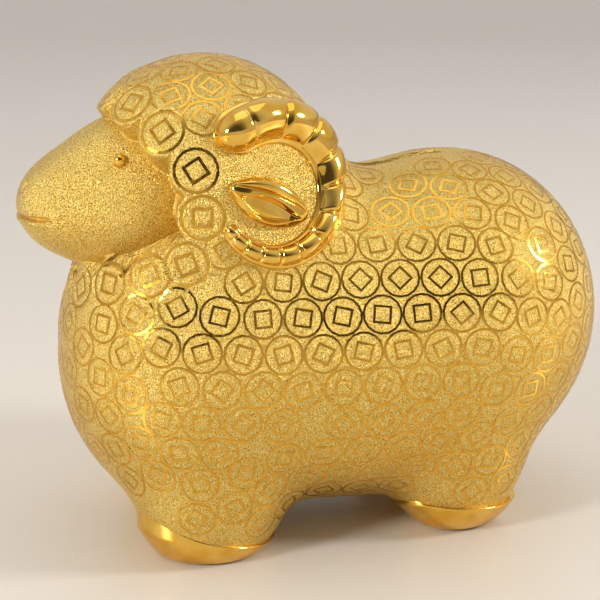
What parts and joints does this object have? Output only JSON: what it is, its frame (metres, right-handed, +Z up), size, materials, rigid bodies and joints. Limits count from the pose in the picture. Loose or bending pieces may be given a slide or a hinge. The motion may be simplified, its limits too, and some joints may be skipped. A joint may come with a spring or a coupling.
{
  "type": "figural animal coin bank",
  "caption": "Gilded ceramic ram money box with a coin slot along the back, curled horns and a pull-out stopper in the belly.",
  "frame": {"origin": "on the floor under the middle of the bank's bounding box", "axes": "+Z up, -Y towards the nose, +X towards the ram's left side"},
  "size_m": [0.119, 0.2169, 0.1777],
  "materials": {
    "frosted_gold": "fine frosted gold plating on a ceramic body, with bright engraved coin lines on the fleece",
    "polished_gold": "mirror gold plating over glaze",
    "rubber": "moulded, matt, ivory"
  },
  "bodies": {
    "bank": {"body_shell": "frosted_gold", "face": "frosted_gold", "left_horn": "polished_gold", "right_horn": "polished_gold", "left_ear": "polished_gold", "right_ear": "polished_gold", "left_eye": "polished_gold", "right_eye": "polished_gold", "front_left_hoof": "polished_gold", "front_right_hoof": "polished_gold", "rear_left_hoof": "polished_gold", "rear_right_hoof": "polished_gold"},
    "stopper": {"stopper": "rubber"}
  },
  "joints": [
    {"name": "stopper_pull", "type": "slide", "parent": "bank", "child": "stopper", "axis": [0, 0, -1], "range_m": [0, 0.03]}
  ]
}
